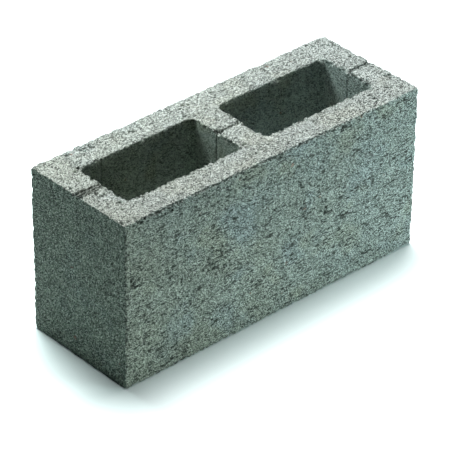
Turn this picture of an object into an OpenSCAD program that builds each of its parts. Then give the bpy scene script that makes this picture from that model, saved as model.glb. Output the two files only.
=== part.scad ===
// Hollow concrete block: one casting with side shells, cross webs and open cores between them.
// It stands on its bed face as it came out of the mould, with the wide end of each core up.
// X runs along the block, Y across it and Z up, from the middle of the bottom face.
// Sizes are in millimetres.

/* [Block] */
// Overall length
block_l = 390; // [320:5:480]
// Overall width, which is the thickness of the wall that it builds
block_w = 140; // [110:5:200]
// Overall height
block_h = 190; // [140:5:240]
// Chamfer along the worn outer edges
edge_c = 1.5; // [0.5:0.5:4]

/* [Shells and webs] */
// Thickness of each long side shell, at the top
shell_t = 32.5; // [24:0.5:40]
// Thickness of each end web, at the top
end_web_t = 32; // [24:0.5:45]
// Thickness of each web between two cores, at the top
mid_web_t = 32; // [24:0.5:45]

/* [Cores] */
// Number of cores in a row
core_n = 2; // [1:1:4]
// Radius of a core's upright corners, at the top
core_r = 8; // [5:0.5:14]
// Draft on each side of a core, over the whole height
core_draft = 2; // [0.5:0.5:4]

/* [Core bar marks] */
// Depth of the marks that the core bar leaves in the top of the webs
mark_d = 3; // [1:0.5:6]
// Width of the mark in the left end web
left_mark_w = 8; // [2:0.5:14]
// Width of the mark in each web between two cores
mid_mark_w = 5; // [2:0.5:14]
// Width of the mark in the right end web
right_mark_w = 3; // [2:0.5:14]
// Width of the broken mouth where a mark runs out into a core
mouth_w = 9; // [4:0.5:16]
// How far each mouth reaches into its web
mouth_l = 6; // [2:0.5:10]

/* [Seams] */
// Width of the fine seam down the middle of each web's core face
seam_w = 1.5; // [0.5:0.5:3]
// Depth of that seam
seam_d = 1; // [0.5:0.5:3]

/* [Hidden] */
concrete_colour = [0.55, 0.6, 0.56];
// How far each cut runs on past the face that it opens
past = 2;
// Angle from one flat to the next round a core's corners
corner_step = 30;
web_n = core_n + 1;
core_w = block_w - 2 * shell_t;
core_l = (block_l - 2 * end_web_t - (core_n - 1) * mid_web_t) / core_n;
core_pitch = core_l + mid_web_t;

// Middle of a core along the block, counted from the left
function core_x(i) = (i - (core_n - 1) / 2) * core_pitch;

// What the draft takes off each side of a core at a height
function draft_at(z) = core_draft * (block_h - z) / block_h;

// Distance from a core's middle to its wall at the top, square to a wall that faces an angle
function core_reach(turn) =
    (core_l / 2 - core_r) * abs(cos(turn)) + (core_w / 2 - core_r) * abs(sin(turn)) + core_r;

// Width of the mark in a web, counted from the left
function mark_w(i) = i == 0 ? left_mark_w : i == web_n - 1 ? right_mark_w : mid_mark_w;

// Left edge of a web's mark, which runs off the end of the block at the first web
function mark_from(i) = i == 0 ? -block_l / 2 - past : core_x(i - 1) + core_l / 2 - past;

// Right edge of a web's mark, which runs off the end of the block at the last web
function mark_to(i) = i == web_n - 1 ? block_l / 2 + past : core_x(i) - core_l / 2 + past;

// Outline of a rectangle a by b about the origin, with its corners cut at 45 degrees
function cut_corners(a, b, c) = [
    [-a / 2 + c, -b / 2],
    [a / 2 - c, -b / 2],
    [a / 2, -b / 2 + c],
    [a / 2, b / 2 - c],
    [a / 2 - c, b / 2],
    [-a / 2 + c, b / 2],
    [-a / 2, b / 2 - c],
    [-a / 2, -b / 2 + c]
];

// Solid outer form, with all twelve edges chamfered
module outer_form() {
    translate([0, 0, block_h / 2])
        intersection() {
            linear_extrude(block_h, center = true)
                polygon(cut_corners(block_l, block_w, edge_c));
            rotate([90, 0, 0])
                linear_extrude(block_w, center = true)
                    polygon(cut_corners(block_l, block_h, edge_c));
            rotate([90, 0, 90])
                linear_extrude(block_l, center = true)
                    polygon(cut_corners(block_w, block_h, edge_c));
        }
}

// Upright slab that widens towards the top with the draft, seen along its thickness
module drafted_slab(half_span, thickness) {
    low = half_span - draft_at(-past);
    high = half_span - draft_at(block_h + past);
    rotate([90, 0, 0])
        linear_extrude(thickness, center = true)
            polygon([[-low, -past], [low, -past], [high, block_h + past], [-high, block_h + past]]);
}

// One core through the block, with the seam that it prints on the web at each end.
// Its outline is a rectangle whose corners are rounded by flats, so every wall keeps the same draft.
module core() {
    intersection_for(turn = [0 : corner_step : 180 - corner_step])
        rotate([0, 0, turn])
            drafted_slab(core_reach(turn), core_l + core_w);
    drafted_slab(core_l / 2 + seam_d, seam_w);
}

// Mark of the core bar along the top of one web
module bar_mark(i) {
    translate([mark_from(i), -mark_w(i) / 2, block_h - mark_d])
        cube([mark_to(i) - mark_from(i), mark_w(i), mark_d + past]);
}

// Broken mouths of the marks at both ends of a core, narrowing to the seam's width
module mark_mouths() {
    reach = core_l / 2 + mouth_l;
    translate([0, 0, block_h - mark_d])
        linear_extrude(mark_d + past)
            polygon([
                [-reach, -seam_w / 2],
                [-core_l / 2, -mouth_w / 2],
                [core_l / 2, -mouth_w / 2],
                [reach, -seam_w / 2],
                [reach, seam_w / 2],
                [core_l / 2, mouth_w / 2],
                [-core_l / 2, mouth_w / 2],
                [-reach, seam_w / 2]
            ]);
}

// The whole block
module block() {
    color(concrete_colour)
        difference() {
            outer_form();
            for (i = [0 : core_n - 1])
                translate([core_x(i), 0, 0]) {
                    core();
                    mark_mouths();
                }
            for (i = [0 : web_n - 1])
                bar_mark(i);
        }
}

block();
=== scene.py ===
"""Looks of a hollow concrete block: the cast body with its broken edges, its finishes and a studio."""

import logging
import math
import random
from collections.abc import Callable, Sequence
from dataclasses import astuple, dataclass, field
from enum import Enum

import bmesh
import bpy
import numpy as np
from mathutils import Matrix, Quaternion, Vector, noise


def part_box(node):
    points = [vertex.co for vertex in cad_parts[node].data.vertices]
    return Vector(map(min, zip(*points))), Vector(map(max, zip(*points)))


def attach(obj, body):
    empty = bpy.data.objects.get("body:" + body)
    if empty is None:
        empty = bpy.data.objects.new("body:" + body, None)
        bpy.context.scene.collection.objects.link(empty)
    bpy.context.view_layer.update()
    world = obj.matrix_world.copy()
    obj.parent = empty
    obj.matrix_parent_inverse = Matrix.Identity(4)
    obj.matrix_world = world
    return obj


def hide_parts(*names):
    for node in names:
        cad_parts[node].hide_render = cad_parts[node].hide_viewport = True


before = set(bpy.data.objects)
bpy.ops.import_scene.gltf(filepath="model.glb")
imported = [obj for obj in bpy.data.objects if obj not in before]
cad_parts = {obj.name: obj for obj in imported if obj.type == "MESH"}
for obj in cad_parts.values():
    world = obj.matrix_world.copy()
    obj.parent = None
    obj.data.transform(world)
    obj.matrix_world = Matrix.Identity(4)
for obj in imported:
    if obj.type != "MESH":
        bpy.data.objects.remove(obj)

MM = 0.001
NODE = "block"
# Name of the mask of painted shade in the block's recesses.
RECESS = "recess"
RIDGE = "ridge"
LAYERING = (0.5, 1.0, 1.7)
BLUER = (0.92, 1.0, 1.17, 1.0)
MORE_OLIVE = (1.07, 1.0, 0.86, 1.0)
RUST = (0.17, 0.10, 0.075, 1.0)
Value = "bpy.types.NodeSocket | float | tuple[float, ...]"

log = logging.getLogger("block")


class Region(Enum):
    """Surfaces of the casting that were made in different ways, and the ends, whose darker paste is painted
    shade. Each value is a material index.
    """

    SIDE = 0
    TOP = 1
    CORE = 2
    UNDERSIDE = 3
    # Painted shade: the ends have a region of their own so that their paste can be made darker.
    END = 4


def ripple(points: np.ndarray, wavelength: float, phase: float = 0.0) -> np.ndarray:
    """Smooth noise at each point.

    Args:
        points: one row of x, y, z for each point, in metres.
        wavelength: rough distance from one swelling to the next.
        phase: shifts the pattern, so that two ripples differ.

    Returns:
        One value for each point, mostly between -1 and 1.
    """
    rows = (points / wavelength + phase).tolist()
    return np.fromiter((noise.noise(row) for row in rows), float, len(rows))


def ramp(values: np.ndarray, low: float, high: float) -> np.ndarray:
    """Values scaled so that low gives 0 and high gives 1, with both ends held."""
    return np.clip((values - low) / (high - low), 0.0, 1.0)


def lumps(points: np.ndarray, size: float, phase: float = 0.0) -> np.ndarray:
    """Uneven lumps of concrete, each with a value of its own.

    Args:
        points: one row for each point.
        size: rough size of one lump.
        phase: shifts the pattern.

    Returns:
        One value for each point, from 0 to 1, the same all over a lump.
    """
    bend = np.stack([ripple(points, size * 1.4, phase + turn) for turn in (1.0, 4.0, 9.0)], axis=1)
    rows = (points / size + bend * 0.55 + phase).tolist()
    return np.fromiter((0.5 + 0.5 * noise.cell(row) for row in rows), float, len(rows))


def read_all(items: Sequence, name: str, width: int = 1, kind: type = float) -> np.ndarray:
    """Reads one property of all a mesh's points, edges, faces or face corners.

    Args:
        items: the mesh's collection of them.
        name: the property's name.
        width: how many numbers the property has.
        kind: the type of the numbers.

    Returns:
        The numbers, in a row for each item where there are several.
    """
    values = np.empty(width * len(items), kind)
    items.foreach_get(name, values)
    return values.reshape(-1, width) if width > 1 else values


def corners_of(bm: bmesh.types.BMesh) -> np.ndarray:
    """Places of a mesh's corners, one row for each."""
    return np.array([vert.co for vert in bm.verts])


def move_corners(bm: bmesh.types.BMesh, points: np.ndarray) -> None:
    """Moves a mesh's corners to new places, given in the same order."""
    for vert, point in zip(bm.verts, points.tolist(), strict=True):
        vert.co = point


def new_object(name: str, data: bpy.types.ID) -> bpy.types.Object:
    """Makes an object and links it to the scene.

    Args:
        name: the object's name.
        data: its mesh, light or camera.

    Returns:
        The new object.
    """
    made = bpy.data.objects.new(name, data)
    bpy.context.scene.collection.objects.link(made)
    return made


def direction(azimuth: float, elevation: float) -> Vector:
    """Direction at an azimuth round from +X towards +Y and at an elevation, both in degrees."""
    turn, rise = math.radians(azimuth), math.radians(elevation)
    return Vector((math.cos(turn) * math.cos(rise), math.sin(turn) * math.cos(rise), math.sin(rise)))


class PointIndex:
    """Points sorted along the block, so that those near a small place are found at once."""

    def __init__(self, points: np.ndarray) -> None:
        """Sorts the points by X.

        Args:
            points: one row for each point.
        """
        self.points = points
        self.order = np.argsort(points[:, 0], kind="stable")
        self.along = points[self.order, 0]

    def within(self, centre: Sequence[float], reach: Sequence[float]) -> np.ndarray:
        """Finds the points inside a box.

        Args:
            centre: middle of the box.
            reach: its half sizes.

        Returns:
            Indices of the points.
        """
        first, last = np.searchsorted(self.along, (centre[0] - reach[0], centre[0] + reach[0]))
        found = self.order[first:last]
        inside = (np.abs(self.points[found] - centre) < reach).all(axis=1)
        return np.sort(found[inside])


@dataclass(frozen=True)
class Hollow:
    """An ellipsoid of missing concrete: a pit in a face, or a chip where it reaches an edge.

    Attributes:
        centre: middle of the ellipsoid, in metres.
        radii: its half sizes along X, Y and Z.
    """

    centre: tuple[float, float, float]
    radii: tuple[float, float, float]

    def near(self, index: PointIndex, margin: float) -> np.ndarray:
        """Indices of the points inside the ellipsoid's box or within a margin of it."""
        return index.within(self.centre, [radius + margin for radius in self.radii])

    def gap(self, points: np.ndarray) -> np.ndarray:
        """Distance from each point to the ellipsoid's surface, below 0 inside it."""
        scaled = np.linalg.norm((points - self.centre) / self.radii, axis=1)
        return (scaled - 1.0) * min(self.radii)


@dataclass(frozen=True)
class BarLine:
    """One ragged line that the core bar leaves in the top of a web.

    Attributes:
        offset: how far it lies from the middle of the block's width.
        half_width: half its width.
        depth: its depth.
        broken: share of its length where it closes up, from 0 to 1.
    """

    offset: float
    half_width: float
    depth: float
    broken: float = 0.0


@dataclass(frozen=True)
class BarMark:
    """The mark of the core bar across the top of one web.

    Attributes:
        x_from: where it starts along the block.
        x_to: where it ends.
        band: half the width of the rough band that it lies in.
        band_depth: how far that band sinks.
        lines: the deeper lines in the band.
        mouths: places along the block where the mark runs out into a core.
        mouth_half: half the width of those mouths.
        mouth_length: how far each mouth reaches into the web.
    """

    x_from: float
    x_to: float
    band: float
    band_depth: float
    lines: tuple[BarLine, ...]
    mouths: tuple[float, ...] = ()
    mouth_half: float = 5.0 * MM
    mouth_length: float = 8.0 * MM

    def depth(self, points: np.ndarray) -> np.ndarray:
        """How far the mark sinks the top face.

        Args:
            points: points on the top face.

        Returns:
            The depth at each point, 0 away from the mark.
        """
        x, y = points[:, 0], points[:, 1]
        soft = 0.35 * MM
        along_only = points * (1.0, 0.0, 0.0)
        ragged = 2.0 * lumps(points * (1.0, 1.0, 0.0), 2.2 * MM, 7.0) - 1.0
        wander = ripple(along_only, 9 * MM, 3.0) * 1.2 * MM
        across = np.abs(y - wander)
        deep = self.band_depth * ramp(self.band + ragged * 1.2 * MM - across, -soft, soft)
        for line in self.lines:
            closing = 0.5 + 0.9 * ripple(along_only, 5 * MM, line.offset / MM)
            is_open = ramp(closing, line.broken, line.broken + 0.15)
            half = line.half_width * (1.0 + 0.75 * ragged)
            cut = ramp(half - np.abs(y - wander - line.offset), -soft, soft)
            deep = np.maximum(deep, line.depth * cut * is_open)
        for mouth in self.mouths:
            along = 1.0 - ramp(np.abs(x - mouth), 0.0, self.mouth_length)
            half = self.mouth_half * along * (1.0 + 0.6 * ragged)
            cut = ramp(half - across, -soft, soft) * (along > 0.0)
            deep = np.maximum(deep, self.lines[0].depth * cut)
        return np.where((x > self.x_from) & (x < self.x_to), deep, 0.0)


@dataclass(frozen=True)
class Seam:
    """A fine upright line in a core's wall.

    Attributes:
        place: a point on the line along X and Y.
        half_width: half its width.
        depth: its depth.
    """

    place: tuple[float, float]
    half_width: float
    depth: float


@dataclass(frozen=True)
class BlockForm:
    """Sizes of the block and the distance from any point to its clean surface.

    Attributes:
        length: overall size along X.
        width: overall size along Y.
        height: overall size along Z.
        shell: thickness of the long side shells, at the top.
        end_web: thickness of the end webs, at the top.
        mid_web: thickness of the web between two cores, at the top.
        core_count: number of cores in a row.
        core_corner: radius of a core's upright corners, at the top.
        core_draft: what each side of a core loses from top to bottom.
    """

    length: float
    width: float
    height: float
    shell: float = 32.5 * MM
    end_web: float = 32.0 * MM
    mid_web: float = 32.0 * MM
    core_count: int = 2
    core_corner: float = 8.0 * MM
    core_draft: float = 2.0 * MM

    @property
    def half(self) -> np.ndarray:
        """Half the overall size along each axis."""
        return np.array([self.length, self.width, self.height]) / 2

    @property
    def core_half(self) -> np.ndarray:
        """Half the size of a core along X and Y, at the top."""
        webs = 2 * self.end_web + (self.core_count - 1) * self.mid_web
        return np.array([(self.length - webs) / self.core_count, self.width - 2 * self.shell]) / 2

    @property
    def core_centres(self) -> list[float]:
        """Middle of each core along X."""
        pitch = 2 * self.core_half[0] + self.mid_web
        return [(i - (self.core_count - 1) / 2) * pitch for i in range(self.core_count)]

    def from_middle(self, points: np.ndarray) -> np.ndarray:
        """How far each point lies from the block's middle along each axis."""
        return np.abs(points - (0.0, 0.0, self.height / 2))

    def core_gap(self, points: np.ndarray) -> np.ndarray:
        """Measures to the cores' walls.

        Args:
            points: one row for each point.

        Returns:
            The distance from each point to the nearest wall, below 0 inside a core.
        """
        draft = self.core_draft * (1.0 - points[:, 2] / self.height)
        corner = self.core_half - self.core_corner
        gaps = []
        for x in self.core_centres:
            past = np.abs(points[:, :2] - (x, 0.0)) - corner
            outside = np.linalg.norm(np.maximum(past, 0.0), axis=1)
            gaps.append(outside + np.minimum(past.max(axis=1), 0.0) - (self.core_corner - draft))
        return np.minimum.reduce(gaps)

    def gap(self, points: np.ndarray, edge: np.ndarray, mouth: np.ndarray) -> np.ndarray:
        """Distance from each point to the block's surface, with its edges rounded.

        Args:
            points: one row for each point.
            edge: radius of the outer edges near each point.
            mouth: radius of the edges of the cores' mouths near each point.

        Returns:
            The distance, below 0 in the concrete.
        """
        past = self.from_middle(points) - (self.half - edge[:, None])
        outer = np.linalg.norm(np.maximum(past, 0.0), axis=1)
        outer = outer + np.minimum(past.max(axis=1), 0.0) - edge
        wall = -self.core_gap(points)
        rounded = np.hypot(np.maximum(outer + mouth, 0.0), np.maximum(wall + mouth, 0.0)) - mouth
        return np.where((outer > -mouth) & (wall > -mouth), rounded, np.maximum(outer, wall))

    def edge_distance(self, points: np.ndarray) -> np.ndarray:
        """Distance along the surface from each point to the nearest outer edge."""
        return np.sort(self.half - self.from_middle(points), axis=1)[:, 1]

    def mouth_distance(self, points: np.ndarray) -> np.ndarray:
        """Distance from each point to the edge of the nearest core's mouth, at the top."""
        return np.hypot(self.core_gap(points), self.height - points[:, 2])

    def rim_distance(self, points: np.ndarray) -> np.ndarray:
        """Distance from each point to the nearest outer edge or mouth of a core."""
        return np.minimum(self.edge_distance(points), self.mouth_distance(points))

    def foot_distance(self, points: np.ndarray) -> np.ndarray:
        """Distance from each point to the edge of the nearest core's foot, at the bottom."""
        return np.hypot(self.core_gap(points), points[:, 2])


@dataclass(frozen=True)
class Flat:
    """One surface of the block as it lies on the map's sheet.

    Attributes:
        along: axis that runs across the sheet.
        up: axis that runs up it.
        middle: place of the surface's middle along the first of them.
        wide: size across the sheet.
        tall: size up it.
    """

    along: int
    up: int
    middle: float
    wide: float
    tall: float


@dataclass(frozen=True)
class BakeSheet:
    """The block's surfaces laid flat beside each other at true scale, as a map for its colours.

    Attributes:
        form: sizes of the block.
        gap: space beside each surface.
    """

    form: BlockForm
    gap: float = 2.5 * MM

    @property
    def flats(self) -> list[Flat]:
        """The surfaces in pairs, with the lower side of each pair first.

        Returns:
            The long faces, the ends and the beds, then each core's long walls and its web walls.
        """
        form = self.form
        half_x, half_y = form.core_half
        flats = [Flat(0, 2, 0.0, form.length, form.height)] * 2
        flats += [Flat(1, 2, 0.0, form.width, form.height)] * 2
        flats += [Flat(0, 1, 0.0, form.length, form.width)] * 2
        for x in form.core_centres:
            flats += [Flat(0, 2, x, 2 * half_x, form.height)] * 2
            flats += [Flat(1, 2, 0.0, 2 * half_y, form.height)] * 2
        return flats

    def corners(self) -> tuple[np.ndarray, float]:
        """Packs the surfaces in rows.

        Returns:
            The sheet's place for each surface's lower left corner, and the sheet's longer side.
        """
        row_length = 2 * self.form.length + 2 * self.gap
        places, across, up, row = [], 0.0, 0.0, 0.0
        for flat in self.flats:
            if across + flat.wide > row_length:
                across, up, row = 0.0, up + row, 0.0
            places.append((across + self.gap / 2, up + self.gap / 2))
            across += flat.wide + self.gap
            row = max(row, flat.tall + self.gap)
        return np.array(places), max(row_length, up + row)

    def surfaces(self, centres: np.ndarray) -> np.ndarray:
        """Sorts the faces of the mesh by surface.

        Args:
            centres: middle of each face.

        Returns:
            The number, among the flats, of the surface that each face lies nearest to.
        """
        form = self.form
        inwards = form.half - form.from_middle(centres)
        depths = np.column_stack([inwards[:, (1, 0, 2)], form.core_gap(centres)])
        nearest = depths.argmin(axis=1)
        above = centres[:, 2] > form.height / 2
        outer = 2 * nearest + np.choose(nearest % 3, [centres[:, 1] > 0, centres[:, 0] > 0, above])
        from_core = centres[:, :1] - np.array(form.core_centres)
        core = np.abs(from_core).argmin(axis=1)
        aside = np.column_stack([from_core[np.arange(len(core)), core], centres[:, 1]])
        on_web = (np.abs(aside) - form.core_half).argmax(axis=1) == 0
        positive = np.where(on_web, aside[:, 0], aside[:, 1]) > 0
        return np.where(nearest == 3, 6 + 4 * core + 2 * on_web + positive, outer)

    def lay(self, mesh: bpy.types.Mesh) -> None:
        """Adds the sheet to a mesh as its map for baking.

        Args:
            mesh: the finished mesh of the block.
        """
        surface = self.surfaces(read_all(mesh.polygons, "center", 3))
        surface = np.repeat(surface, read_all(mesh.polygons, "loop_total", 1, int))
        spot = read_all(mesh.vertices, "co", 3)[read_all(mesh.loops, "vertex_index", 1, int)]
        along, up, middle, wide, tall = np.array([astuple(flat) for flat in self.flats]).T
        places, side = self.corners()
        rows = np.arange(len(spot))
        across = spot[rows, along.astype(int)[surface]] - middle[surface] + wide[surface] / 2
        low = np.where(up == 1, tall / 2, 0.0)
        high = spot[rows, up.astype(int)[surface]] + low[surface]
        flat = np.column_stack([across, high]) + places[surface]
        mesh.uv_layers.new(name="OFBake").data.foreach_set("uv", (flat / side).ravel())


@dataclass(frozen=True)
class Fineness:
    """How closely the mesh is divided.

    Attributes:
        voxel: size of the squares that the whole surface starts with.
        growth: how fast the spacing may grow away from a detail.
        top: longest edge on the top face.
        edge: longest edge at the outer edges.
        mouth: longest edge at the mouths of the cores.
        foot: longest edge round the bottom face and at the feet of the cores.
        mark: longest edge at the bar marks.
        seam: longest edge at the seams.
        pit: longest edge in a pit or a chip.
        band: how far from an edge the mesh stays at its finest.
        top_zone: how far under the top face its own fineness holds.
        foot_zone: how far above the bottom face the foot's fineness holds.
        slack: how much longer than the spacing an edge may be before it is split.
        rounds: most times that the edges are split.
    """

    voxel: float = 3.6 * MM
    growth: float = 0.55
    top: float = 1.9 * MM
    edge: float = 0.9 * MM
    mouth: float = 0.9 * MM
    foot: float = 1.6 * MM
    mark: float = 0.6 * MM
    seam: float = 0.9 * MM
    pit: float = 0.9 * MM
    band: float = 2.2 * MM
    top_zone: float = 1.5 * MM
    foot_zone: float = 6 * MM
    slack: float = 1.3
    rounds: int = 4


@dataclass(frozen=True)
class Wear:
    """How the edges are worn and broken.

    Attributes:
        reach: how far from an edge the wear is felt.
        coarse: size of the larger broken lumps.
        fine: size of the smaller ones.
        swell: distance from one swelling to the next along an edge.
        mouth_zone: how near to a core's mouth the breaks are those of the mouth.
        full: how far from an edge the breaks keep their full depth.
        mouth_end: how far from a mouth they end.
        edge_end: how far from an outer edge they end.
        front_bite: depth of the breaks at the front of a mouth.
        back_bite: their depth at its back.
        edge_bite: their depth at the outer edges.
        chip_reach: how far round a chip its points are looked for.
    """

    reach: float = 9 * MM
    coarse: float = 5.5 * MM
    fine: float = 2.4 * MM
    swell: float = 16 * MM
    mouth_zone: float = 8 * MM
    full: float = 1.6 * MM
    mouth_end: float = 6.5 * MM
    edge_end: float = 4.0 * MM
    front_bite: float = 2.2 * MM
    back_bite: float = 0.8 * MM
    edge_bite: float = 0.6 * MM
    chip_reach: float = 3 * MM


@dataclass
class CastBlock:
    """The casting: shells, webs and cores as one closed mesh with crumbled edges, pits and marks.

    Attributes:
        form: its sizes.
        fineness: how closely its mesh is divided.
        wear: how its edges are worn.
        seed: start of the random draws for chips and pits.
        chips_per_metre: small chips along each metre of outer edge.
        mouth_breaks: small chips round the mouth of each core.
        foot_breaks: small chips round its foot.
        top_openings: openings under each long top edge.
        corner_openings: openings beside the front left edge.
        pits: number of open pits in the outer faces.
        hole_rim: how far round an opening its points are looked for.
        mark_zone: how far under the top face a point may lie and still be sunk by a mark.
    """

    form: BlockForm
    fineness: Fineness = field(default_factory=Fineness)
    wear: Wear = field(default_factory=Wear)
    seed: int = 11
    chips_per_metre: int = 80
    mouth_breaks: int = 48
    foot_breaks: int = 20
    top_openings: int = 150
    corner_openings: int = 75
    pits: int = 480
    hole_rim: float = 0.4 * MM
    mark_zone: float = 2.5 * MM

    def __post_init__(self) -> None:
        """Draws the chips and pits, and places the marks and seams."""
        self.random = random.Random(self.seed)
        self.chips = self.large_chips() + self.small_chips() + self.mouth_chips()
        self.holes = self.edge_holes() + self.face_pits()
        self.marks = self.bar_marks()
        self.seams = self.wall_seams()

    def large_chips(self) -> list[Hollow]:
        """The broken corners and longer breaks, each placed from the corner that it belongs to.

        Returns:
            The chips.
        """
        half_l, half_w, high = self.form.length / 2, self.form.width / 2, self.form.height
        placed = [
            ((-half_l - 1.6 * MM, half_w + 1.8 * MM, high + 1.6 * MM), (5.0, 5.0, 4.0)),
            ((half_l + 1.6 * MM, -half_w - 1.6 * MM, high + 1.6 * MM), (5.5, 5.0, 5.0)),
            ((half_l + 2.2 * MM, -half_w - 2.0 * MM, high - 12 * MM), (4.4, 4.0, 8.0)),
            ((half_l - 4.0 * MM, half_w + 1.4 * MM, high + 1.5 * MM), (6.0, 3.6, 3.4)),
            ((half_l + 1.6 * MM, half_w - 9.0 * MM, high + 1.4 * MM), (4.0, 4.0, 3.4)),
            ((half_l + 1.4 * MM, 0.5 * MM, high + 0.6 * MM), (4.8, 3.6, 4.4)),
            ((half_l + 2.0 * MM, -5.0 * MM, high + 1.8 * MM), (3.8, 6.0, 3.4)),
            ((half_l - 12 * MM, -half_w - 2.2 * MM, -1.2 * MM), (13.0, 5.2, 5.0)),
            ((half_l - 31 * MM, -half_w - 2.0 * MM, -1.6 * MM), (8.0, 3.8, 3.6)),
            ((-half_l - 1.0 * MM, -half_w - 1.0 * MM, -1.4 * MM), (4.0, 4.0, 4.0)),
            ((-half_l + 24 * MM, -half_w - 1.8 * MM, -1.8 * MM), (10.0, 3.6, 3.6)),
            ((-half_l - 1.6 * MM, 14 * MM, -1.4 * MM), (3.6, 9.0, 3.4)),
            ((-half_l - 1.8 * MM, half_w - 1.8 * MM, 62 * MM), (3.6, 3.6, 6.0)),
            ((-half_l + 38 * MM, half_w + 1.8 * MM, high + 1.4 * MM), (8.0, 3.6, 3.2)),
            ((12 * MM, half_w + 1.8 * MM, high + 1.4 * MM), (10.0, 3.8, 3.2)),
        ]
        return [Hollow(centre, tuple(r * MM for r in radii)) for centre, radii in placed]

    def small_chips(self) -> list[Hollow]:
        """Small chips scattered along the twelve outer edges.

        Returns:
            The chips, edge by edge.
        """
        chips = []
        for axis in range(3):
            others = [a for a in range(3) if a != axis]
            count = round(2 * self.form.half[axis] * self.chips_per_metre)
            for sides in ((-1, -1), (-1, 1), (1, -1), (1, 1)):
                for _ in range(count):
                    size = self.random.triangular(0.7, 2.3, 1.1) * MM
                    centre = [0.0, 0.0, self.form.height / 2]
                    radii = [size] * 3
                    centre[axis] += self.random.uniform(-1, 1) * self.form.half[axis]
                    radii[axis] = size * self.random.uniform(0.8, 2.2)
                    for other, side in zip(others, sides, strict=True):
                        away = self.form.half[other] + size * self.random.uniform(-0.1, 0.6)
                        centre[other] += side * away
                    chips.append(Hollow(tuple(centre), tuple(radii)))
        return chips

    def mouth_chips(self) -> list[Hollow]:
        """Small chips scattered round the mouths and feet of the cores.

        Returns:
            The chips, core by core.
        """
        chips = []
        half_x, half_y = self.form.core_half
        for x in self.form.core_centres:
            mouth, foot = (self.form.height, 1.0, self.mouth_breaks), (0.0, -1.0, self.foot_breaks)
            for level, lift, count in (mouth, foot):
                for _ in range(count):
                    size = self.random.triangular(1.0, 3.0, 1.6) * MM
                    u = self.random.uniform(-1.0, 1.0)
                    side = self.random.choice((-1.0, 1.0))
                    on_length = self.random.random() < half_x / (half_x + half_y)
                    px = x + (u if on_length else side) * half_x
                    py = (side if on_length else u) * half_y
                    radii = (size * 1.5, size, size) if on_length else (size, size * 1.5, size)
                    chips.append(Hollow((px, py, level + lift * size * 0.4), radii))
        return chips

    def edge_holes(self) -> list[Hollow]:
        """Rows of small openings just under the long top edges and beside the front left edge.

        Returns:
            The openings.
        """
        holes = []
        half_l, half_w, high = self.form.length / 2, self.form.width / 2, self.form.height
        for side in (-1.0, 1.0):
            for _ in range(self.top_openings):
                x = self.random.triangular(-half_l, half_l, -0.7 * half_l)
                drop = self.random.triangular(0.5, 4.0, 0.9) * MM
                wide = self.random.uniform(1.0, 2.8) * MM
                tall = self.random.uniform(0.8, 1.4) * MM
                holes.append(Hollow((x, side * half_w, high - drop), (wide, 2.0 * MM, tall)))
        for _ in range(self.corner_openings):
            z = self.random.uniform(8 * MM, high)
            across = self.random.triangular(0.3, 3.0, 0.7) * MM
            size = self.random.uniform(0.8, 1.3) * MM
            holes.append(Hollow((-half_l + across, -half_w, z), (size, 1.8 * MM, size * 1.3)))
        return holes

    def face_pits(self) -> list[Hollow]:
        """Open pits in the faces, drawn out along the layers of the mix and often in clusters.

        Returns:
            The pits.
        """
        pits = []
        half = self.form.half
        areas = (half[1] * half[2] * 0.25, half[0] * half[2], half[0] * half[1] * 0.9)
        while len(pits) < self.pits:
            axis = self.random.choices((0, 1, 2), areas)[0]
            side = self.random.choice((-1.0, 1.0)) if axis < 2 else 1.0
            spot = [self.random.uniform(-0.98, 0.98) * h for h in half]
            spot[axis] = side * half[axis]
            for _ in range(self.random.choice((1, 1, 2, 3, 5))):
                size = self.random.triangular(0.7, 1.8 if axis else 1.1, 0.9) * MM
                radii = [size * self.random.uniform(0.9, 1.9) for _ in range(3)]
                radii[2] = size * self.random.uniform(0.8, 1.2)
                radii[axis] = size * 1.3
                centre = [s + self.random.gauss(0.0, 3.4 * MM) * (a != axis) for a, s in enumerate(spot)]
                centre[2] += half[2]
                pits.append(Hollow(tuple(centre), tuple(radii)))
        return pits

    def bar_marks(self) -> list[BarMark]:
        """The core bar's marks: a band of three lines in the left web, and one main line in the others.

        Returns:
            One mark for each web, from the left.
        """
        half_l = self.form.length / 2
        half_x = self.form.core_half[0]
        centres = self.form.core_centres
        past = 2 * MM
        left_lines = (
            BarLine(-3.7 * MM, 1.1 * MM, 4.4 * MM, 0.16),
            BarLine(0.0, 1.1 * MM, 4.4 * MM, 0.08),
            BarLine(3.7 * MM, 1.2 * MM, 4.8 * MM, -0.1),
        )
        mid_lines = (
            BarLine(0.0, 1.7 * MM, 4.4 * MM, 0.02),
            BarLine(-3.0 * MM, 0.7 * MM, 2.0 * MM, 0.5),
        )
        right_lines = (
            BarLine(0.6 * MM, 1.0 * MM, 3.2 * MM, 0.05),
            BarLine(-2.2 * MM, 0.7 * MM, 2.0 * MM, 0.55),
        )
        marks = [BarMark(-half_l - past, centres[0] - half_x + past, 5.0 * MM, 0.7 * MM, left_lines)]
        for left, right in zip(centres, centres[1:], strict=False):
            start, end = left + half_x, right - half_x
            marks.append(BarMark(start - past, end + past, 2.8 * MM, 0.4 * MM, mid_lines, (start, end)))
        start = centres[-1] + half_x
        last = BarMark(start - past, half_l + past, 1.8 * MM, 0.6 * MM, right_lines, (start,), 3.0 * MM)
        return [*marks, last]

    def wall_seams(self) -> list[Seam]:
        """The seam in the middle of each web's core faces, and a fainter one in the left core's back wall.

        Returns:
            The seams.
        """
        half_x, half_y = self.form.core_half
        webs = [x + side * half_x for x in self.form.core_centres for side in (-1.0, 1.0)]
        middle = [Seam((x, 0.0), half_width=0.4 * MM, depth=1.0 * MM) for x in webs]
        start = self.form.core_centres[0] - half_x
        return [*middle, Seam((start + 30 * MM, half_y), half_width=0.6 * MM, depth=1.0 * MM)]

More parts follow.
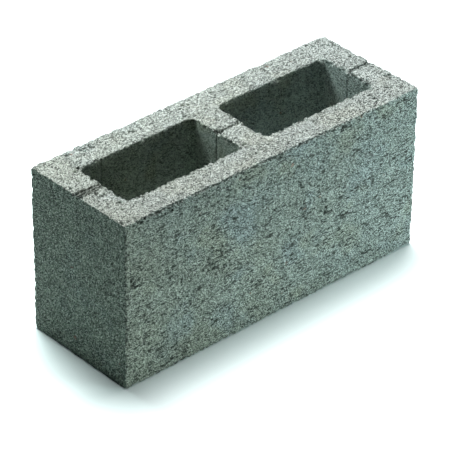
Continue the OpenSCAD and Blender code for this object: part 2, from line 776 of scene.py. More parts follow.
    def spacing(self, points: np.ndarray) -> np.ndarray:
        """Longest edge that the mesh may have near each point.

        Args:
            points: one row for each point.

        Returns:
            The length at each point.
        """
        fine, form = self.fineness, self.form
        on_top = points[:, 2] > form.height - fine.top_zone
        low = points[:, 2] < fine.foot_zone
        edge = np.where(low, fine.foot, fine.edge)
        grown = [
            np.where(on_top, fine.top, fine.voxel),
            edge + fine.growth * np.maximum(form.edge_distance(points) - fine.band, 0.0),
            fine.mouth + fine.growth * np.maximum(form.mouth_distance(points) - fine.band, 0.0),
            fine.foot + fine.growth * form.foot_distance(points),
        ]
        for mark in self.marks:
            beside = np.abs(points[:, 1]) - mark.band - 1 * MM
            past = np.maximum(mark.x_from - points[:, 0], points[:, 0] - mark.x_to)
            away = np.maximum(np.maximum(beside, past), 0.0) + 2.0 * (form.height - points[:, 2])
            grown.append(fine.mark + fine.growth * away)
        for seam in self.seams:
            away = np.abs(points[:, :2] - seam.place).max(axis=1) - 1.0 * MM
            down = 0.02 * (form.height - points[:, 2])
            grown.append(fine.seam + down + 2 * fine.growth * np.maximum(away, 0.0))
        size = np.minimum.reduce(grown)
        index = PointIndex(points)
        for hollow in self.chips + self.holes:
            near = hollow.near(index, self.hole_rim)
            size[near] = np.minimum(size[near], max(fine.pit, 0.5 * min(hollow.radii)))
        return size

    def rough_form(self) -> bmesh.types.BMesh:
        """The block with square edges: a plate with a hole for each core, pulled up to its height.

        Returns:
            The new mesh, with few faces.
        """
        form = self.form
        bm = bmesh.new()
        plate = bmesh.ops.create_grid(bm, x_segments=1, y_segments=1, size=1.0)["verts"]
        bmesh.ops.scale(bm, vec=(form.half[0], form.half[1], 1.0), verts=plate)
        for x in form.core_centres:
            hole = bmesh.ops.create_grid(bm, x_segments=1, y_segments=1, size=1.0)["verts"]
            bmesh.ops.scale(bm, vec=(form.core_half[0], form.core_half[1], 1.0), verts=hole)
            bmesh.ops.translate(bm, vec=(x, 0.0, 0.0), verts=hole)
            bmesh.ops.bevel(bm, geom=hole, offset=form.core_corner, affect="VERTICES",
                            segments=5, profile=0.5, material=-1)
        bmesh.ops.delete(bm, geom=bm.faces[:], context="FACES_ONLY")
        bmesh.ops.triangle_fill(bm, edges=bm.edges[:], use_beauty=True)
        pulled = bmesh.ops.extrude_face_region(bm, geom=bm.faces[:], use_keep_orig=True)["geom"]
        top = [item for item in pulled if isinstance(item, bmesh.types.BMVert)]
        bmesh.ops.translate(bm, vec=(0.0, 0.0, form.height), verts=top)
        bmesh.ops.recalc_face_normals(bm, faces=bm.faces[:])
        return bm

    def even_mesh(self) -> bmesh.types.BMesh:
        """The rough form cut into even squares.

        Returns:
            The new mesh.
        """
        rough = self.rough_form()
        mesh = bpy.data.meshes.new("rough")
        rough.to_mesh(mesh)
        rough.free()
        maker = new_object("rough", mesh)
        squares = maker.modifiers.new("squares", "REMESH")
        squares.mode = "VOXEL"
        squares.voxel_size = self.fineness.voxel
        graph = bpy.context.evaluated_depsgraph_get()
        even = bpy.data.meshes.new_from_object(maker.evaluated_get(graph), depsgraph=graph)
        bm = bmesh.new()
        bm.from_mesh(even)
        bpy.data.objects.remove(maker)
        bpy.data.meshes.remove(mesh)
        bpy.data.meshes.remove(even)
        return bm

    def refine(self, bm: bmesh.types.BMesh) -> None:
        """Splits the edges that are longer than the spacing asks for.

        Args:
            bm: the mesh, settled on the worn surface, where each round leaves it.
        """
        for turn in range(self.fineness.rounds):
            bm.verts.index_update()
            edges = bm.edges[:]
            points = corners_of(bm)
            ends = np.array([(edge.verts[0].index, edge.verts[1].index) for edge in edges])
            length = np.linalg.norm(points[ends[:, 0]] - points[ends[:, 1]], axis=1)
            long = length > self.fineness.slack * self.spacing(points[ends].mean(axis=1))
            chosen = [edge for edge, split in zip(edges, long.tolist(), strict=True) if split]
            if not chosen:
                break
            bmesh.ops.subdivide_edges(bm, edges=chosen, cuts=1, use_grid_fill=True)
            wide = [face for face in bm.faces if len(face.verts) > 4]
            bmesh.ops.triangulate(bm, faces=wide)
            self.drop_flaps(bm)
            self.settle(bm)
            log.info("split %d edges in round %d", len(chosen), turn + 1)

    @staticmethod
    def drop_flaps(bm: bmesh.types.BMesh) -> None:
        """Removes faces that lie back to back on the same corners.

        Args:
            bm: the mesh.
        """
        found = {}
        for face in bm.faces:
            found.setdefault(frozenset(face.verts), []).append(face)
        flaps = [face for faces in found.values() if len(faces) > 1 for face in faces]
        bmesh.ops.delete(bm, geom=flaps, context="FACES")

    def surface(self, points: np.ndarray) -> Callable[[np.ndarray], np.ndarray]:
        """Makes the function that measures to the worn surface.

        Args:
            points: where it will be used, which settles the worn edges and the chips near each point.

        Returns:
            A function from moved points to their distances, below 0 in the concrete.
        """
        wear = self.wear
        near_edge = self.form.rim_distance(points)
        close = np.flatnonzero(near_edge < wear.reach)
        worn, bite = np.zeros(len(points)), np.zeros(len(points))
        coarse = ramp(lumps(points[close], wear.coarse), 0.5, 1.0)
        fine = ramp(lumps(points[close], wear.fine, 5.0), 0.3, 1.0)
        swell = ripple(points[close], wear.swell)
        worn[close] = np.maximum(1.2 * coarse + 0.7 * swell, 0.0)
        inner = self.form.mouth_distance(points[close]) < wear.mouth_zone
        fading = 1.0 - ramp(near_edge[close], wear.full, np.where(inner, wear.mouth_end, wear.edge_end))
        torn = 1.4 * fine**2 + 1.3 * coarse**2 + 0.3 * swell
        back = points[close, 1] > self.form.core_half[1] / 2
        deepest = np.select([inner & ~back, inner], [wear.front_bite, wear.back_bite], wear.edge_bite)
        bite[close] = torn * fading * deepest
        edge = (0.4 + 0.55 * worn) * MM
        mouth = (0.5 + worn) * MM
        index = PointIndex(points)
        near = [(chip, chip.near(index, wear.chip_reach)) for chip in self.chips]
        shake = np.zeros((len(points), 3))
        bend = [ripple(points[close], wear.fine, phase) for phase in (11.0, 17.0, 23.0)]
        shake[close] = np.stack(bend, axis=1) * MM

        def gap(moved: np.ndarray) -> np.ndarray:
            """Measures to the worn surface.

            Args:
                moved: the same points, wherever they have moved to.

            Returns:
                The distance from each point, below 0 in the concrete.
            """
            distance = self.form.gap(moved, edge, mouth) + bite
            for chip, chosen in near:
                inside = -chip.gap(moved[chosen] + shake[chosen])
                distance[chosen] = np.maximum(distance[chosen], inside)
            return distance

        return gap

    @staticmethod
    def slope(gap: Callable[[np.ndarray], np.ndarray], points: np.ndarray) -> np.ndarray:
        """Direction in which the distance grows fastest at each point.

        Args:
            gap: measures the distance from points to a surface.
            points: where the slope is taken.

        Returns:
            One vector for each point, of length 1 where the distance is true.
        """
        step = 0.06 * MM
        sides = [gap(points + step * axis) - gap(points - step * axis) for axis in np.eye(3)]
        return np.stack(sides, axis=1) / (2 * step)

    def settle(self, bm: bmesh.types.BMesh, passes: int = 3) -> None:
        """Moves every corner of the mesh onto the worn surface.

        Args:
            bm: the mesh.
            passes: how many times each corner is moved nearer.
        """
        points = corners_of(bm)
        gap = self.surface(points)
        for _ in range(passes):
            slope = self.slope(gap, points)
            steep = np.maximum((slope**2).sum(axis=1), 0.2)
            points = points - slope * (gap(points) / steep)[:, None]
        move_corners(bm, points)

    def swelling(self, points: np.ndarray) -> np.ndarray:
        """Soft unevenness of the faces, rougher beside the edges and on the top face.

        Args:
            points: the settled corners of the mesh.

        Returns:
            How far each point swells out along its normal.
        """
        near_edge = 1.0 - ramp(self.form.rim_distance(points), 2 * MM, 6 * MM)
        high = self.form.height
        on_top = ramp(points[:, 2], high - self.mark_zone, high - self.fineness.top_zone)
        rough = np.maximum(near_edge, 0.2 * on_top)
        broad = 0.2 * ripple(points, 38 * MM, 2.0) + 0.16 * ripple(points, 12 * MM, 4.0)
        close = 0.3 * ripple(points, 4.6 * MM, 6.0) + 0.3 * ripple(points, 2.2 * MM, 8.0)
        return (broad + rough * close) * MM

    def sinking(self, points: np.ndarray, normals: np.ndarray) -> np.ndarray:
        """Depth of the openings, the bar marks and the seams.

        Args:
            points: the settled corners of the mesh.
            normals: the surface's direction at each of them.

        Returns:
            How far each point sinks along its normal.
        """
        form = self.form
        sunk = np.zeros(len(points))
        index = PointIndex(points)
        for hole in self.holes:
            near = hole.near(index, self.hole_rim)
            scaled = np.linalg.norm((points[near] - hole.centre) / hole.radii, axis=1)
            ragged = 0.25 * ripple(points[near], 1.7 * MM, 31.0)
            bowl = np.sqrt(np.clip(1.0 - (scaled + ragged) ** 2, 0.0, 1.0))
            sunk[near] = np.maximum(sunk[near], bowl * min(hole.radii) * 1.4)
        top = np.flatnonzero((points[:, 2] > form.height - self.mark_zone) & (normals[:, 2] > 0.3))
        for mark in self.marks:
            sunk[top] = np.maximum(sunk[top], mark.depth(points[top]))
        walls = np.abs(form.core_gap(points)) < 1 * MM
        for seam in self.seams:
            away = np.abs(points[:, :2] - seam.place).max(axis=1)
            near = np.flatnonzero(walls & (away < 3 * MM))
            along = normals[near][:, 1::-1] * (1.0, -1.0)
            aside = np.abs(((points[near][:, :2] - seam.place) * along).sum(axis=1))
            waver = seam.half_width * (1.0 + 0.5 * ripple(points[near], 4 * MM, 13.0))
            cut = ramp(waver - aside, -0.3 * MM, 0.3 * MM)
            sunk[near] = np.maximum(sunk[near], seam.depth * cut)
        return sunk

    def regions(self, centres: np.ndarray, normals: np.ndarray) -> np.ndarray:
        """Sorts the faces by the way that their surface was made, and puts the ends apart for their darker
        paste, which is painted shade.

        Args:
            centres: middle of each face.
            normals: direction that it faces.

        Returns:
            The value of the region that each face belongs to.
        """
        from_side = self.form.half - self.form.from_middle(centres)
        mark_floor, bed, rim, level = self.form.height - 3.4 * MM, 3 * MM, 6 * MM, 0.6
        tests = {
            Region.TOP: (centres[:, 2] > mark_floor) & (normals[:, 2] > level),
            Region.UNDERSIDE: (centres[:, 2] < bed) & (normals[:, 2] < -level),
            Region.CORE: from_side[:, :2].min(axis=1) > rim,
            Region.END: from_side[:, 0] < from_side[:, 1],
        }
        return np.select(list(tests.values()), [region.value for region in tests], Region.SIDE.value)

    @staticmethod
    def standing(mesh: bpy.types.Mesh) -> tuple[np.ndarray, np.ndarray]:
        """How far each point of a mesh stands out from its neighbours, and how far it lies below them.

        Args:
            mesh: the finished mesh.

        Returns:
            Both for each point, from 0 to 1.
        """
        points, normals = (read_all(mesh.vertices, name, 3) for name in ("co", "normal"))
        ends = read_all(mesh.edges, "vertices", 2, int)
        start, end = np.concatenate([ends, ends[:, ::-1]]).T
        away = points[start] - points[end]
        rise = (away * normals[start]).sum(axis=1) / np.linalg.norm(away, axis=1)
        mean = np.bincount(start, rise, len(points)) / np.bincount(start, minlength=len(points))
        return ramp(mean, 0.14, 0.5), ramp(-mean, 0.2, 0.6)

    def build(self) -> bpy.types.Object:
        """Builds the casting as one closed mesh.

        Returns:
            The new object, with a recess attribute on its points, a mask of painted shade in its openings,
            marks, seams and hollows, and a ridge attribute.
        """
        bm = self.even_mesh()
        self.settle(bm)
        self.refine(bm)
        points = corners_of(bm)
        normals = self.slope(self.surface(points), points)
        normals /= np.maximum(np.linalg.norm(normals, axis=1, keepdims=True), 0.2)
        sunk = self.sinking(points, normals)
        # Painted shade: the sunk openings, marks and seams get a mask that darkens their colour.
        recess = ramp(sunk, 0.1 * MM, 1.2 * MM)
        moved = points + normals * (self.swelling(points) - sunk)[:, None]
        moved[:, 2] = np.maximum(moved[:, 2], 0.0)
        move_corners(bm, moved)
        bm.normal_update()
        centres = np.array([face.calc_center_median() for face in bm.faces])
        facing = np.array([face.normal for face in bm.faces])
        for face, region in zip(bm.faces, self.regions(centres, facing).tolist(), strict=True):
            face.smooth = True
            face.material_index = region
        mesh = bpy.data.meshes.new("cast_block")
        bm.to_mesh(mesh)
        bm.free()
        ridge, dip = self.standing(mesh)
        # Painted shade: points lying below their neighbours are darkened along with the sunk ones.
        for name, values in ((RECESS, np.maximum(recess, dip)), (RIDGE, ridge)):
            layer = mesh.attributes.new(name, "FLOAT", "POINT")
            layer.data.foreach_set("value", values.astype(np.float32))
        BakeSheet(self.form).lay(mesh)
        return new_object("cast_block", mesh)

    def dress(self, block: bpy.types.Object, finishes: "dict[Region, ConcreteFinish]") -> None:
        """Gives each surface of the casting its finish.

        Args:
            block: the built object.
            finishes: the finish of each surface.
        """
        for region in sorted(Region, key=lambda r: r.value):
            block.data.materials.append(finishes[region].build(region.name.lower()))
        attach(block, "root")
        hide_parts(NODE)


class Nodes:
    """A node tree, with short ways to add its nodes and join them."""

    def __init__(self, tree: bpy.types.NodeTree) -> None:
        """Takes the tree to work on."""
        self.tree = tree

    def add(self, kind: str, inputs: dict | None = None, **settings) -> bpy.types.Node:
        """Adds a node.

        Args:
            kind: the node's type.
            inputs: a value or a socket for each named or numbered input.
            settings: properties of the node.

        Returns:
            The new node.
        """
        node = self.tree.nodes.new(kind)
        for name, value in settings.items():
            setattr(node, name, value)
        for name, value in (inputs or {}).items():
            if isinstance(value, bpy.types.NodeSocket):
                self.tree.links.new(value, node.inputs[name])
            else:
                node.inputs[name].default_value = value
        return node

    def math(self, operation: str, a: Value, b: Value = 0.0) -> bpy.types.NodeSocket:
        """The result of a Math node on one or two values or sockets."""
        return self.add("ShaderNodeMath", {0: a, 1: b}, operation=operation).outputs[0]

    def plus(self, a: Value, b: Value) -> bpy.types.NodeSocket:
        """The sum of two values or sockets."""
        return self.math("ADD", a, b)

    def times(self, a: Value, b: Value) -> bpy.types.NodeSocket:
        """The product of two values or sockets."""
        return self.math("MULTIPLY", a, b)

    def mix(self, factor: Value, a: Value, b: Value, blend: str = "MIX") -> bpy.types.NodeSocket:
        """The colour that a Mix node makes from two colours or sockets."""
        inputs = {0: factor, 6: a, 7: b}
        return self.add("ShaderNodeMix", inputs, data_type="RGBA", blend_type=blend).outputs[2]

    def spread(self, value: Value, low: float, high: float, to_low: Value = 0.0,
               to_high: Value = 1.0) -> bpy.types.NodeSocket:
        """The value smoothly mapped from one range to another, held at both ends."""
        inputs = {0: value, 1: low, 2: high, 3: to_low, 4: to_high}
        return self.add("ShaderNodeMapRange", inputs, interpolation_type="SMOOTHSTEP").outputs[0]

    def noise(self, vector: Value, scale: Value, detail: float = 2.0,
              rough: float = 0.5) -> bpy.types.NodeSocket:
        """The value of a Noise texture."""
        inputs = {"Vector": vector, "Scale": scale, "Detail": detail, "Roughness": rough}
        return self.add("ShaderNodeTexNoise", inputs).outputs[0]

    def cells(self, vector: Value, scale: Value) -> tuple[bpy.types.NodeSocket, Sequence]:
        """The distance from the middle of a Voronoi cell, and three random values for each cell.

        Args:
            vector: where the cells lie.
            scale: how many of them fit in a length of 1.

        Returns:
            The distance's socket and the sockets of the random values.
        """
        cells = self.add("ShaderNodeTexVoronoi", {"Vector": vector, "Scale": scale}).outputs
        return cells["Distance"], self.add("ShaderNodeSeparateColor", {0: cells["Color"]}).outputs

    def masked(self, mask: Value, strength: float, under: Value, over: Value) -> bpy.types.NodeSocket:
        """A colour laid over another where a mask shows it, at a strength."""
        return self.mix(self.times(mask, strength), under, over)

    def moved(self, vector: Value, shift: tuple[float, float, float]) -> bpy.types.NodeSocket:
        """The vector moved by a fixed amount."""
        return self.add("ShaderNodeVectorMath", {0: vector, 1: shift}, operation="ADD").outputs[0]

    def scaled(self, vector: Value, factors: tuple[float, float, float]) -> bpy.types.NodeSocket:
        """The vector with each part scaled by its own factor."""
        return self.add("ShaderNodeVectorMath", {0: vector, 1: factors}, operation="MULTIPLY").outputs[0]

    def grey(self, value: Value) -> bpy.types.NodeSocket:
        """The value as a grey colour."""
        return self.add("ShaderNodeCombineColor", {0: value, 1: value, 2: value}).outputs[0]

    def shaded(self, colour: Value, value: Value) -> bpy.types.NodeSocket:
        """The colour made lighter or darker by a factor."""
        return self.mix(1.0, colour, self.grey(value), "MULTIPLY")


def new_group(name: str, values: dict[str, float], outputs: Sequence[str]) -> bpy.types.NodeTree:
    """Starts a shader node group with named sockets.

    Args:
        name: the group's name.
        values: the default of each input beside the vector.
        outputs: the name of each output, all of them values.

    Returns:
        The group's tree, with only its input and output nodes.
    """
    tree = bpy.data.node_groups.new(name, "ShaderNodeTree")
    tree.interface.new_socket("Vector", in_out="INPUT", socket_type="NodeSocketVector")
    for label, value in values.items():
        socket = tree.interface.new_socket(label, in_out="INPUT", socket_type="NodeSocketFloat")
        socket.default_value = value
    for label in outputs:
        tree.interface.new_socket(label, in_out="OUTPUT", socket_type="NodeSocketFloat")
    tree.nodes.new("NodeGroupInput")
    tree.nodes.new("NodeGroupOutput")
    return tree


class Grit(Enum):
    """Sizes of the grains and pores in the mix. Each value is how many fit in a metre."""

    DUST = 2300.0
    SAND = 1450.0
    GRAVEL = 310.0
    SMALL_PORE = 1080.0
    LARGE_PORE = 340.0


class ConcreteEffects:
    """The shader groups that every concrete finish shares, each built once."""

    def __init__(self) -> None:
        """Builds the groups."""
        self.grains = self.grain_group()
        self.pores = self.pore_group()
        self.drying = self.drying_group()

    def grain_group(self) -> bpy.types.NodeTree:
        """Packed sand grains: how light each one is, how far it stands out and its oddness.

        Returns:
            The group's tree.
        """
        tree = new_group("packed_grains", {"Density": Grit.SAND.value}, ("Shade", "Dome", "Odd"))
        nodes = Nodes(tree)
        given = tree.nodes["Group Input"].outputs
        away, own = nodes.cells(given["Vector"], given["Density"])
        contrast, middle = 0.95, 0.96
        dull = nodes.spread(own[0], 0.0, 0.45, -contrast, 0.0)
        bright = nodes.spread(own[0], 0.5, 1.0, 0.0, contrast)
        shade = nodes.plus(nodes.plus(dull, bright), middle)
        dome = nodes.spread(away, 0.0, 0.75, 1.0, 0.0)
        height = nodes.times(dome, nodes.plus(own[2], 0.3))
        self.put_out(tree, {"Shade": shade, "Dome": height, "Odd": own[1]})
        return tree

    def pore_group(self) -> bpy.types.NodeTree:
        """Open pores of mixed size, gathered in patches and drawn out along the layers of the mix.

        Returns:
            The group's tree.
        """
        tree = new_group("open_pores", {"Density": Grit.LARGE_PORE.value, "Amount": 1.0}, ("Pore",))
        nodes = Nodes(tree)
        given = tree.nodes["Group Input"].outputs
        layered = nodes.scaled(given["Vector"], LAYERING)
        patches = nodes.spread(nodes.noise(given["Vector"], 70.0), 0.34, 0.68, 0.16, 0.36)
        reach = nodes.times(patches, given["Amount"])
        away, own = nodes.cells(layered, given["Density"])
        reach = nodes.times(reach, nodes.spread(own[0], 0.66, 1.0, 0.0, 2.3))
        wobble = nodes.times(nodes.noise(given["Vector"], 1100.0, 1.0), 0.16)
        past = nodes.math("SUBTRACT", nodes.plus(away, wobble), reach)
        pore = nodes.spread(past, -0.05, 0.1, 1.0, 0.0)
        self.put_out(tree, {"Pore": pore})
        return tree

    def drying_group(self) -> bpy.types.NodeTree:
        """Broad patches where the paste dried bluer, more olive, paler or darker, a painted light that
        makes the paste paler towards the right end, and painted bounce light that makes the foot paler.

        Returns:
            The group's tree.
        """
        tree = new_group("drying", {}, ("Blue", "Olive", "Light", "Foot"))
        nodes = Nodes(tree)
        vector = tree.nodes["Group Input"].outputs["Vector"]
        parts = nodes.add("ShaderNodeSeparateXYZ", {0: vector}).outputs
        along = nodes.plus(nodes.times(parts[0], 2.0), nodes.times(parts[2], 1.6))
        drift = nodes.plus(along, nodes.times(nodes.noise(vector, 14.0, 3.0), 1.1))
        cool = nodes.spread(nodes.noise(nodes.moved(vector, (1.7, 0.4, 5.2)), 19.0), 0.52, 0.68)
        stained = nodes.spread(nodes.noise(nodes.moved(vector, (6.1, 2.9, 0.8)), 23.0), 0.54, 0.7)
        blue = nodes.math("MAXIMUM", nodes.spread(drift, 0.55, 1.35), cool)
        olive = nodes.math("MAXIMUM", nodes.spread(drift, 0.75, 0.15), stained)
        cloud = nodes.noise(vector, 26.0, 3.0, 0.55)
        speckle = nodes.noise(nodes.moved(vector, (3.1, 7.7, 1.3)), 150.0, 3.0, 0.6)
        light = nodes.spread(cloud, 0.3, 0.7, -0.5, 0.5)
        # Painted light: the paste grows paler towards the right end, where more light falls.
        light = nodes.plus(light, nodes.times(parts[0], 4.5))
        light = nodes.plus(light, nodes.spread(speckle, 0.28, 0.72, -0.4, 0.4))
        # Painted light: the paste grows paler towards the bottom, standing in for the floor's bounce light.
        foot = nodes.spread(parts[2], 170 * MM, 10 * MM, -0.5, 0.5)
        self.put_out(tree, {"Blue": blue, "Olive": olive, "Light": light, "Foot": foot})
        return tree

    @staticmethod
    def put_out(tree: bpy.types.NodeTree, sockets: dict[str, bpy.types.NodeSocket]) -> None:
        """Joins sockets to the named outputs of a group."""
        for name, socket in sockets.items():
            tree.links.new(socket, tree.nodes["Group Output"].inputs[name])


@dataclass(frozen=True)
class ConcreteFinish:
    """One finish of the dry-cast concrete.

    Attributes:
        effects: the shared shader groups.
        paste: colour of the cement paste.
        pale: colour of the dust on worn ridges.
        deep: near-black colour of the painted shade at the bottom of pores and recesses.
        dust: contrast between the finest grains.
        grain: contrast between the grains of sand.
        stone: contrast between the largest grains.
        pores: amount of open pores.
        specks: amount of the smallest pores.
        relief: height of the grains for the shading.
        blotch: strength of the broad patches and of the painted light towards the right end.
        foot: how much paler the paste gets from the top to the foot, as painted bounce light from the
            floor.
        hue: strength of the drift from olive to blue.
        roughness: roughness of the paste.
        ridge_cover: how much of the pale dust lies on a ridge.
        pore_cover: how dark the painted shade in a pore gets.
        recess_cover: how dark the painted shade in a recess gets.
        sand_rise: share of the relief that the sand makes.
        gravel_rise: share that the larger grains make.
        pore_fall: depth of the pores as a share of it.
    """

    effects: ConcreteEffects
    paste: tuple[float, float, float]
    pale: tuple[float, float, float]
    deep: tuple[float, float, float] = (0.02, 0.024, 0.02)
    dust: float = 0.5
    grain: float = 0.9
    stone: float = 0.06
    pores: float = 0.8
    specks: float = 1.6
    relief: float = 1.1 * MM
    blotch: float = 0.14
    foot: float = 0.0
    hue: float = 0.7
    roughness: float = 0.92
    ridge_cover: float = 0.5
    pore_cover: float = 0.92
    recess_cover: float = 0.85
    sand_rise: float = 0.7
    gravel_rise: float = 0.15
    pore_fall: float = 1.3

    def build(self, name: str) -> bpy.types.Material:
        """Makes the material.

        Args:
            name: what the finish is called, after the word concrete.

        Returns:
            The new material.
        """
        material = bpy.data.materials.new("concrete_" + name)
        material.use_nodes = True
        nodes = Nodes(material.node_tree)
        place = nodes.add("ShaderNodeTexCoord").outputs["Object"]
        dust, fine, coarse = (
            self.group(nodes, self.effects.grains, place, Density=grit.value)
            for grit in (Grit.DUST, Grit.SAND, Grit.GRAVEL)
        )
        large, small = (
            self.group(nodes, self.effects.pores, place, Density=grit.value, Amount=amount)[0]
            for grit, amount in ((Grit.LARGE_PORE, self.pores), (Grit.SMALL_PORE, self.specks))
        )
        pore = nodes.math("MAXIMUM", large, small)
        drying = self.group(nodes, self.effects.drying, place)
        paste = self.dried(nodes, drying)
        colour = self.grained(nodes, paste, ((dust, self.dust), (fine, self.grain), (coarse, self.stone)))
        colour = self.worn(nodes, colour, pore)
        height = self.height(nodes, fine, coarse, pore)
        bump = nodes.add("ShaderNodeBump", {"Strength": 1.0, "Distance": self.relief, "Height": height})
        rough = nodes.spread(fine["Odd"], 0.0, 1.0, self.roughness - 0.1, self.roughness + 0.06)
        shader = material.node_tree.nodes["Principled BSDF"]
        shader.inputs["Specular IOR Level"].default_value = 0.25
        for name, socket in (("Base Color", colour), ("Roughness", rough), ("Normal", bump.outputs[0])):
            material.node_tree.links.new(socket, shader.inputs[name])
        return material

    @staticmethod
    def group(nodes: Nodes, tree: bpy.types.NodeTree, place: Value, **values: float) -> Sequence:
        """Places one of the shared groups with its own values, and gives its outputs."""
        return nodes.add("ShaderNodeGroup", {"Vector": place, **values}, node_tree=tree).outputs

    def dried(self, nodes: Nodes, drying: Value) -> bpy.types.NodeSocket:
        """The paste's colour with its broad patches and its painted light, paler towards the right end and
        towards the foot.

        Args:
            nodes: the material's tree.
            drying: outputs of the group of drying patches and painted light.

        Returns:
            The colour's socket.
        """
        blue = nodes.times(drying["Blue"], self.hue)
        olive = nodes.times(drying["Olive"], self.hue)
        paste = nodes.mix(blue, (*self.paste, 1.0), BLUER, "MULTIPLY")
        paste = nodes.mix(olive, paste, MORE_OLIVE, "MULTIPLY")
        # Painted light: paler towards the foot, standing in for the floor's bounce.
        foot = nodes.plus(nodes.times(drying["Foot"], self.foot), 1.0)
        # The Light output carries random patches and the painted light towards the right end.
        light = nodes.plus(nodes.times(drying["Light"], self.blotch), foot)
        return nodes.shaded(paste, light)

    @staticmethod
    def grained(nodes: Nodes, paste: Value, layers: Sequence[tuple[Value, float]]) -> bpy.types.NodeSocket:
        """The colour with its grains.

        Args:
            nodes: the material's tree.
            paste: colour of the paste.
            layers: outputs of the grain group and the contrast for each size of grain, finest first.

        Returns:
            The colour's socket.
        """
        colour = paste
        plain = nodes.add("ShaderNodeHueSaturation", {"Saturation": 0.35, "Color": paste}).outputs[0]
        for grains, strength in layers:
            shade = nodes.times(nodes.math("SUBTRACT", grains["Shade"], 1.0), strength)
            colour = nodes.shaded(colour, nodes.plus(nodes.math("MINIMUM", shade, 0.0), 1.0))
            bright = nodes.shaded(plain, nodes.math("MAXIMUM", shade, 0.0))
            colour = nodes.mix(1.0, colour, bright, "ADD")
        rusty = nodes.spread(layers[-1][0]["Odd"], 0.9988, 0.9994, 0.0, 0.7)
        return nodes.mix(rusty, colour, RUST)

    def worn(self, nodes: Nodes, colour: Value, pore: Value) -> bpy.types.NodeSocket:
        """The colour with painted shade in its pores and recesses, and with its pale worn ridges.

        Args:
            nodes: the material's tree.
            colour: the colour with its grains.
            pore: mask of the pores.

        Returns:
            The colour's socket.
        """
        recess, ridge = (
            nodes.add("ShaderNodeAttribute", attribute_name=name).outputs["Fac"] for name in (RECESS, RIDGE)
        )
        colour = nodes.masked(ridge, self.ridge_cover, colour, (*self.pale, 1.0))
        # Painted shade: the pores are darkened towards the deep colour, standing in for their shadow.
        colour = nodes.masked(pore, self.pore_cover, colour, (*self.deep, 1.0))
        # Painted shade: the recesses are darkened towards the near-black deep colour.
        return nodes.masked(recess, self.recess_cover, colour, (*self.deep, 1.0))

    def height(self, nodes: Nodes, fine: Value, coarse: Value, pore: Value) -> bpy.types.NodeSocket:
        """Height of the grains and pores for the shading.

        Args:
            nodes: the material's tree.
            fine: outputs of the grain group for the sand.
            coarse: outputs of the grain group for the larger grains.
            pore: mask of the pores.

        Returns:
            The height's socket, about 1 on the highest grains.
        """
        sand = nodes.times(fine["Dome"], self.sand_rise)
        domes = nodes.plus(nodes.times(coarse["Dome"], self.gravel_rise), sand)
        return nodes.math("SUBTRACT", domes, nodes.times(pore, self.pore_fall))


@dataclass(frozen=True)
class SoftBox:
    """A soft studio light.

    Attributes:
        name: the light's name.
        azimuth: the side that it comes from, in degrees round from +X towards +Y.
        elevation: its height above the horizon, in degrees.
        distance: how far it stands from the block's middle.
        size: side of its square panel.
        power: its power in watts.
        level: whether it hangs level, instead of facing the block.
        colour: its colour.
    """

    name: str
    azimuth: float
    elevation: float
    distance: float
    size: float
    power: float
    level: bool = False
    colour: tuple[float, float, float] = (1.0, 1.0, 1.0)

    def place(self, aim: Vector) -> None:
        """Adds the light.

        Args:
            aim: the point that its distance is measured from, and that it faces unless it hangs level.
        """
        light = bpy.data.lights.new(self.name, "AREA")
        light.shape = "SQUARE"
        light.size = self.size
        light.energy = self.power
        light.color = self.colour
        lamp = new_object(self.name, light)
        back = direction(self.azimuth, self.elevation)
        lamp.location = aim + back * self.distance
        if not self.level:
            lamp.rotation_euler = back.to_track_quat("Z", "Y").to_euler()
        lamp.visible_camera = False


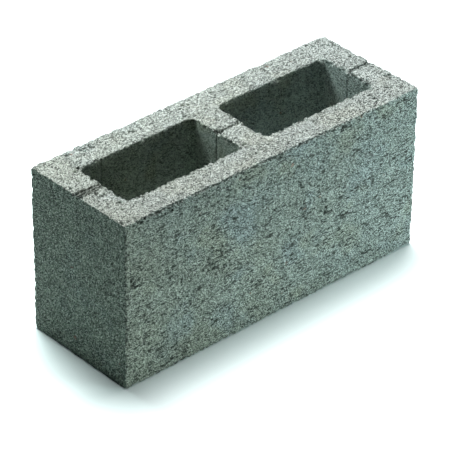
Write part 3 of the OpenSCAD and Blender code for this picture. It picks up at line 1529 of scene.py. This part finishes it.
@dataclass(frozen=True)
class Studio:
    """A pale floor, soft lights and the camera.

    Attributes:
        centre: middle of the block.
        view_azimuth: the side that the camera looks from, in degrees round from +X towards +Y.
        view_elevation: the camera's height above the horizon, in degrees.
        view_roll: tilt of the picture, in degrees.
        view_distance: from the aim to the camera.
        lens: focal length in millimetres.
        aim_right: how far the aim lies to the right of the block's middle in the picture.
        aim_up: how far it lies above it.
        floor_size: side of the floor.
        floor_colour: colour of the floor.
        boxes: the soft lights.
    """

    centre: Vector
    view_azimuth: float = -132.37
    view_elevation: float = 33.378
    view_roll: float = 0.762
    view_distance: float = 3.026
    lens: float = 239.7
    aim_right: float = -1.6 * MM
    aim_up: float = -19.4 * MM
    floor_size: float = 9.0
    floor_colour: tuple[float, float, float] = (0.83, 0.93, 0.93)
    boxes: tuple[SoftBox, ...] = (
        SoftBox("overhead", 45.0, 77.0, 1.8, 0.9, 69.3),
        SoftBox("back_left", 112.0, 52.0, 0.62, 0.2, 4.5, level=True, colour=(0.9, 1.0, 0.98)),
        SoftBox("front_fill", 298.0, 2.0, 1.1, 0.25, 13.0, colour=(0.86, 1.0, 0.98)),
    )

    def build(self) -> None:
        """Sets up the floor, the lights, the world and the camera."""
        self.lay_floor()
        for box in self.boxes:
            box.place(self.centre)
        self.darken_world()
        self.set_camera()

    def lay_floor(self) -> None:
        """Lays a plain pale floor."""
        bm = bmesh.new()
        bmesh.ops.create_grid(bm, x_segments=1, y_segments=1, size=self.floor_size / 2)
        mesh = bpy.data.meshes.new("floor")
        bm.to_mesh(mesh)
        bm.free()
        floor = new_object("floor", mesh)
        paint = bpy.data.materials.new("floor_paint")
        paint.use_nodes = True
        shader = paint.node_tree.nodes["Principled BSDF"]
        shader.inputs["Base Color"].default_value = (*self.floor_colour, 1.0)
        shader.inputs["Roughness"].default_value = 0.9
        shader.inputs["Specular IOR Level"].default_value = 0.1
        mesh.materials.append(paint)

    @staticmethod
    def darken_world() -> None:
        """Leaves all the lighting to the soft boxes."""
        world = bpy.data.worlds.new("studio")
        world.use_nodes = True
        world.node_tree.nodes["Background"].inputs["Strength"].default_value = 0.0
        bpy.context.scene.world = world
        bpy.context.scene.view_settings.view_transform = "Standard"

    def set_camera(self) -> None:
        """Places the camera and makes it the scene's own."""
        back = direction(self.view_azimuth, self.view_elevation)
        facing = back.to_track_quat("Z", "Y")
        right, up = facing @ Vector((1.0, 0.0, 0.0)), facing @ Vector((0.0, 1.0, 0.0))
        roll = Quaternion(back, math.radians(self.view_roll))
        lens = bpy.data.cameras.new("camera")
        lens.lens = self.lens
        camera = new_object("camera", lens)
        camera.rotation_euler = (roll @ facing).to_euler()
        aim = self.centre + right * self.aim_right + up * self.aim_up
        camera.location = aim + back * self.view_distance
        bpy.context.scene.camera = camera


def concrete_finishes(effects: ConcreteEffects) -> dict[Region, ConcreteFinish]:
    """Mixes the concrete for each surface of the casting.

    Args:
        effects: the shared shader groups.

    Returns:
        The finish of each region.
    """
    return {
        # The sides' foot value is painted bounce light from the floor.
        Region.SIDE: ConcreteFinish(
            effects, paste=(0.163, 0.212, 0.180), pale=(0.36, 0.44, 0.40),
            grain=1.4, pores=1.05, specks=1.85, blotch=0.08, foot=0.16,
        ),
        # Painted shade: the ends' paste is darker than the sides' because they stand in shade; their grains
        # and pores are their own.
        Region.END: ConcreteFinish(
            effects, paste=(0.113, 0.173, 0.132), pale=(0.28, 0.35, 0.32),
            grain=2.3, pores=0.5, specks=2.5, blotch=0.04, hue=0.3,
        ),
        Region.TOP: ConcreteFinish(
            effects, paste=(0.244, 0.276, 0.246), pale=(0.47, 0.50, 0.46),
            grain=1.1, pores=0.35, specks=1.85, blotch=0.09, hue=0.3,
        ),
        Region.CORE: ConcreteFinish(
            effects, paste=(0.26, 0.325, 0.265), pale=(0.42, 0.45, 0.42),
            grain=0.8, pores=0.5, specks=1.5,
        ),
        Region.UNDERSIDE: ConcreteFinish(effects, paste=(0.19, 0.235, 0.21), pale=(0.36, 0.41, 0.38)),
    }


def main() -> None:
    """Builds the block and its studio, and reports each piece."""
    logging.basicConfig(level=logging.INFO, format="%(message)s")
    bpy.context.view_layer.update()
    low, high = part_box(NODE)
    size = high - low
    Studio(centre=(low + high) / 2).build()
    block = CastBlock(BlockForm(size.x, size.y, size.z))
    piece = block.build()
    block.dress(piece, concrete_finishes(ConcreteEffects()))
    log.info("%s: %d points, %d faces", piece.name, len(piece.data.vertices), len(piece.data.polygons))
    log.info("triangles: %d", sum(len(p.vertices) - 2 for p in piece.data.polygons))


if __name__ == "__main__":
    main()
